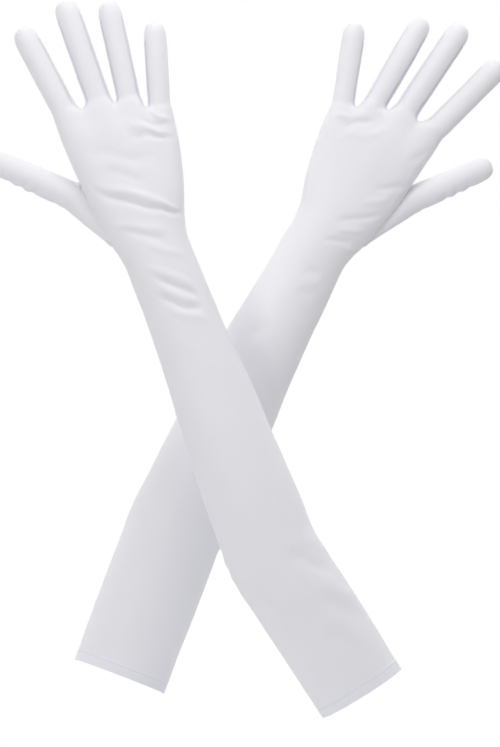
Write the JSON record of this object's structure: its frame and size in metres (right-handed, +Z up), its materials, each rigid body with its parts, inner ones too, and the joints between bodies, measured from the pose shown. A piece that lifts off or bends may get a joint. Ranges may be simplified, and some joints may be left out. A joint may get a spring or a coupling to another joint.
{
  "type": "opera gloves",
  "caption": "Long white satin-knit opera gloves, left and right, worn and crossed at the forearms, bendable at elbows, wrists, fingers and thumbs.",
  "frame": {"origin": "centre of the left glove's cuff opening", "axes": "+Z up, roughly along the arms from cuff to fingertips; -Y towards the backs of the hands; +X from the left glove's cuff towards the right glove's cuff"},
  "size_m": [0.3639, 0.14, 0.4975],
  "materials": {
    "satin_knit": "smooth white satin knit with a soft sheen",
    "gusset_knit": "the same knit, seen along its side strips",
    "hem_knit": "two layers of the knit, turned up and stitched",
    "sewing_thread": "white polyester sewing thread"
  },
  "bodies": {
    "left_upper_arm": {"left_hem_band": "hem_knit", "left_hem_stitching": "sewing_thread", "left_upper_sleeve": "satin_knit", "left_upper_side_seam": "sewing_thread"},
    "left_forearm": {"left_elbow_sleeve": "satin_knit", "left_forearm_sleeve": "satin_knit", "left_forearm_side_seam": "sewing_thread", "left_wrist_sleeve": "satin_knit"},
    "left_hand": {"left_hand": "satin_knit", "left_web_gussets": "gusset_knit", "left_thumb_base": "satin_knit", "left_thumb_seam": "sewing_thread"},
    "left_thumb_lower": {"left_thumb_lower": "satin_knit"},
    "left_thumb_tip": {"left_thumb_tip": "satin_knit"},
    "left_index_lower": {"left_index_lower": "satin_knit", "left_index_lower_gusset": "gusset_knit"},
    "left_index_tip": {"left_index_tip": "satin_knit", "left_index_tip_gusset": "gusset_knit"},
    "left_middle_lower": {"left_middle_lower": "satin_knit", "left_middle_lower_gusset": "gusset_knit"},
    "left_middle_tip": {"left_middle_tip": "satin_knit", "left_middle_tip_gusset": "gusset_knit"},
    "left_ring_lower": {"left_ring_lower": "satin_knit", "left_ring_lower_gusset": "gusset_knit"},
    "left_ring_tip": {"left_ring_tip": "satin_knit", "left_ring_tip_gusset": "gusset_knit"},
    "left_little_lower": {"left_little_lower": "satin_knit", "left_little_lower_gusset": "gusset_knit"},
    "left_little_tip": {"left_little_tip": "satin_knit", "left_little_tip_gusset": "gusset_knit"},
    "right_upper_arm": {"right_hem_band": "hem_knit", "right_hem_stitching": "sewing_thread", "right_upper_sleeve": "satin_knit", "right_upper_side_seam": "sewing_thread"},
    "right_forearm": {"right_elbow_sleeve": "satin_knit", "right_forearm_sleeve": "satin_knit", "right_forearm_side_seam": "sewing_thread", "right_wrist_sleeve": "satin_knit"},
    "right_hand": {"right_hand": "satin_knit", "right_web_gussets": "gusset_knit", "right_thumb_base": "satin_knit", "right_thumb_seam": "sewing_thread"},
    "right_thumb_lower": {"right_thumb_lower": "satin_knit"},
    "right_thumb_tip": {"right_thumb_tip": "satin_knit"},
    "right_index_lower": {"right_index_lower": "satin_knit", "right_index_lower_gusset": "gusset_knit"},
    "right_index_tip": {"right_index_tip": "satin_knit", "right_index_tip_gusset": "gusset_knit"},
    "right_middle_lower": {"right_middle_lower": "satin_knit", "right_middle_lower_gusset": "gusset_knit"},
    "right_middle_tip": {"right_middle_tip": "satin_knit", "right_middle_tip_gusset": "gusset_knit"},
    "right_ring_lower": {"right_ring_lower": "satin_knit", "right_ring_lower_gusset": "gusset_knit"},
    "right_ring_tip": {"right_ring_tip": "satin_knit", "right_ring_tip_gusset": "gusset_knit"},
    "right_little_lower": {"right_little_lower": "satin_knit", "right_little_lower_gusset": "gusset_knit"},
    "right_little_tip": {"right_little_tip": "satin_knit", "right_little_tip_gusset": "gusset_knit"}
  },
  "joints": [
    {"name": "left_elbow", "type": "hinge", "parent": "left_upper_arm", "child": "left_forearm", "pos_m": [0.04121, 0, 0.10736], "axis": [0, 1, 0], "range_deg": [-6, 100], "deforming": ["left_elbow_sleeve"]},
    {"name": "left_wrist", "type": "hinge", "parent": "left_forearm", "child": "left_hand", "pos_m": [0.14064, 0, 0.30249], "axis": [-0.8387, 0, 0.5446], "range_deg": [-50, 50], "deforming": ["left_wrist_sleeve"]},
    {"name": "left_thumb", "type": "hinge", "parent": "left_hand", "child": "left_thumb_lower", "pos_m": [0.21392, 0.009, 0.3372], "axis": [-0.3987, 0, 0.9171], "range_deg": [0, 45]},
    {"name": "left_thumb_bend", "type": "hinge", "parent": "left_thumb_lower", "child": "left_thumb_tip", "pos_m": [0.23776, 0.009, 0.34756], "axis": [-0.3987, 0, 0.9171], "range_deg": [0, 45]},
    {"name": "left_index", "type": "hinge", "parent": "left_hand", "child": "left_index_lower", "pos_m": [0.23032, 0, 0.39363], "axis": [-0.7071, 0, 0.7071], "range_deg": [0, 60]},
    {"name": "left_index_bend", "type": "hinge", "parent": "left_index_lower", "child": "left_index_tip", "pos_m": [0.24446, 0, 0.40777], "axis": [-0.7071, 0, 0.7071], "range_deg": [0, 60]},
    {"name": "left_middle", "type": "hinge", "parent": "left_hand", "child": "left_middle_lower", "pos_m": [0.20852, 0, 0.40686], "axis": [-0.8339, 0, 0.5519], "range_deg": [0, 60]},
    {"name": "left_middle_bend", "type": "hinge", "parent": "left_middle_lower", "child": "left_middle_tip", "pos_m": [0.21956, 0, 0.42354], "axis": [-0.8339, 0, 0.5519], "range_deg": [0, 60]},
    {"name": "left_ring", "type": "hinge", "parent": "left_hand", "child": "left_ring_lower", "pos_m": [0.18699, 0, 0.41247], "axis": [-0.866, 0, 0.5], "range_deg": [0, 60]},
    {"name": "left_ring_bend", "type": "hinge", "parent": "left_ring_lower", "child": "left_ring_tip", "pos_m": [0.19699, 0, 0.42979], "axis": [-0.866, 0, 0.5], "range_deg": [0, 60]},
    {"name": "left_little", "type": "hinge", "parent": "left_hand", "child": "left_little_lower", "pos_m": [0.16171, 0, 0.41233], "axis": [-0.989, 0, 0.1478], "range_deg": [0, 60]},
    {"name": "left_little_bend", "type": "hinge", "parent": "left_little_lower", "child": "left_little_tip", "pos_m": [0.16467, 0, 0.43211], "axis": [-0.989, 0, 0.1478], "range_deg": [0, 60]},
    {"name": "gloves_apart", "type": "slide", "parent": "left_upper_arm", "child": "right_upper_arm", "axis": [0, -1, 0], "range_m": [0, 0.15]},
    {"name": "right_elbow", "type": "hinge", "parent": "right_upper_arm", "child": "right_forearm", "pos_m": [0.10956, -0.072, 0.09003], "axis": [0, -1, 0], "range_deg": [-3, 100], "deforming": ["right_elbow_sleeve"]},
    {"name": "right_wrist", "type": "hinge", "parent": "right_forearm", "child": "right_hand", "pos_m": [0.03108, -0.072, 0.29448], "axis": [-0.9304, 0, -0.3665], "range_deg": [-50, 50], "deforming": ["right_wrist_sleeve"]},
    {"name": "right_thumb", "type": "hinge", "parent": "right_hand", "child": "right_thumb_lower", "pos_m": [-0.03665, -0.063, 0.33809], "axis": [-0.4067, 0, -0.9135], "range_deg": [0, 45]},
    {"name": "right_thumb_bend", "type": "hinge", "parent": "right_thumb_lower", "child": "right_thumb_tip", "pos_m": [-0.0604, -0.063, 0.34867], "axis": [-0.4067, 0, -0.9135], "range_deg": [0, 45]},
    {"name": "right_index", "type": "hinge", "parent": "right_hand", "child": "right_index_lower", "pos_m": [-0.03781, -0.072, 0.40216], "axis": [-0.8829, 0, -0.4695], "range_deg": [0, 60]},
    {"name": "right_index_bend", "type": "hinge", "parent": "right_index_lower", "child": "right_index_tip", "pos_m": [-0.0472, -0.072, 0.41982], "axis": [-0.8829, 0, -0.4695], "range_deg": [0, 60]},
    {"name": "right_middle", "type": "hinge", "parent": "right_hand", "child": "right_middle_lower", "pos_m": [-0.01423, -0.072, 0.41044], "axis": [-0.9426, 0, -0.3338], "range_deg": [0, 60]},
    {"name": "right_middle_bend", "type": "hinge", "parent": "right_middle_lower", "child": "right_middle_tip", "pos_m": [-0.0209, -0.072, 0.42929], "axis": [-0.9426, 0, -0.3338], "range_deg": [0, 60]},
    {"name": "right_ring", "type": "hinge", "parent": "right_hand", "child": "right_ring_lower", "pos_m": [0.00859, -0.072, 0.41178], "axis": [-0.9763, 0, -0.2164], "range_deg": [0, 60]},
    {"name": "right_ring_bend", "type": "hinge", "parent": "right_ring_lower", "child": "right_ring_tip", "pos_m": [0.00426, -0.072, 0.4313], "axis": [-0.9763, 0, -0.2164], "range_deg": [0, 60]},
    {"name": "right_little", "type": "hinge", "parent": "right_hand", "child": "right_little_lower", "pos_m": [0.03119, -0.072, 0.40631], "axis": [-0.9981, 0, -0.061], "range_deg": [0, 60]},
    {"name": "right_little_bend", "type": "hinge", "parent": "right_little_lower", "child": "right_little_tip", "pos_m": [0.02997, -0.072, 0.42628], "axis": [-0.9981, 0, -0.061], "range_deg": [0, 60]}
  ],
  "couplings": [
    {"joint": "left_thumb_bend", "follows": "left_thumb", "ratio": 1},
    {"joint": "left_index_bend", "follows": "left_index", "ratio": 1},
    {"joint": "left_middle_bend", "follows": "left_middle", "ratio": 1},
    {"joint": "left_ring_bend", "follows": "left_ring", "ratio": 1},
    {"joint": "left_little_bend", "follows": "left_little", "ratio": 1},
    {"joint": "right_thumb_bend", "follows": "right_thumb", "ratio": 1},
    {"joint": "right_index_bend", "follows": "right_index", "ratio": 1},
    {"joint": "right_middle_bend", "follows": "right_middle", "ratio": 1},
    {"joint": "right_ring_bend", "follows": "right_ring", "ratio": 1},
    {"joint": "right_little_bend", "follows": "right_little", "ratio": 1}
  ]
}
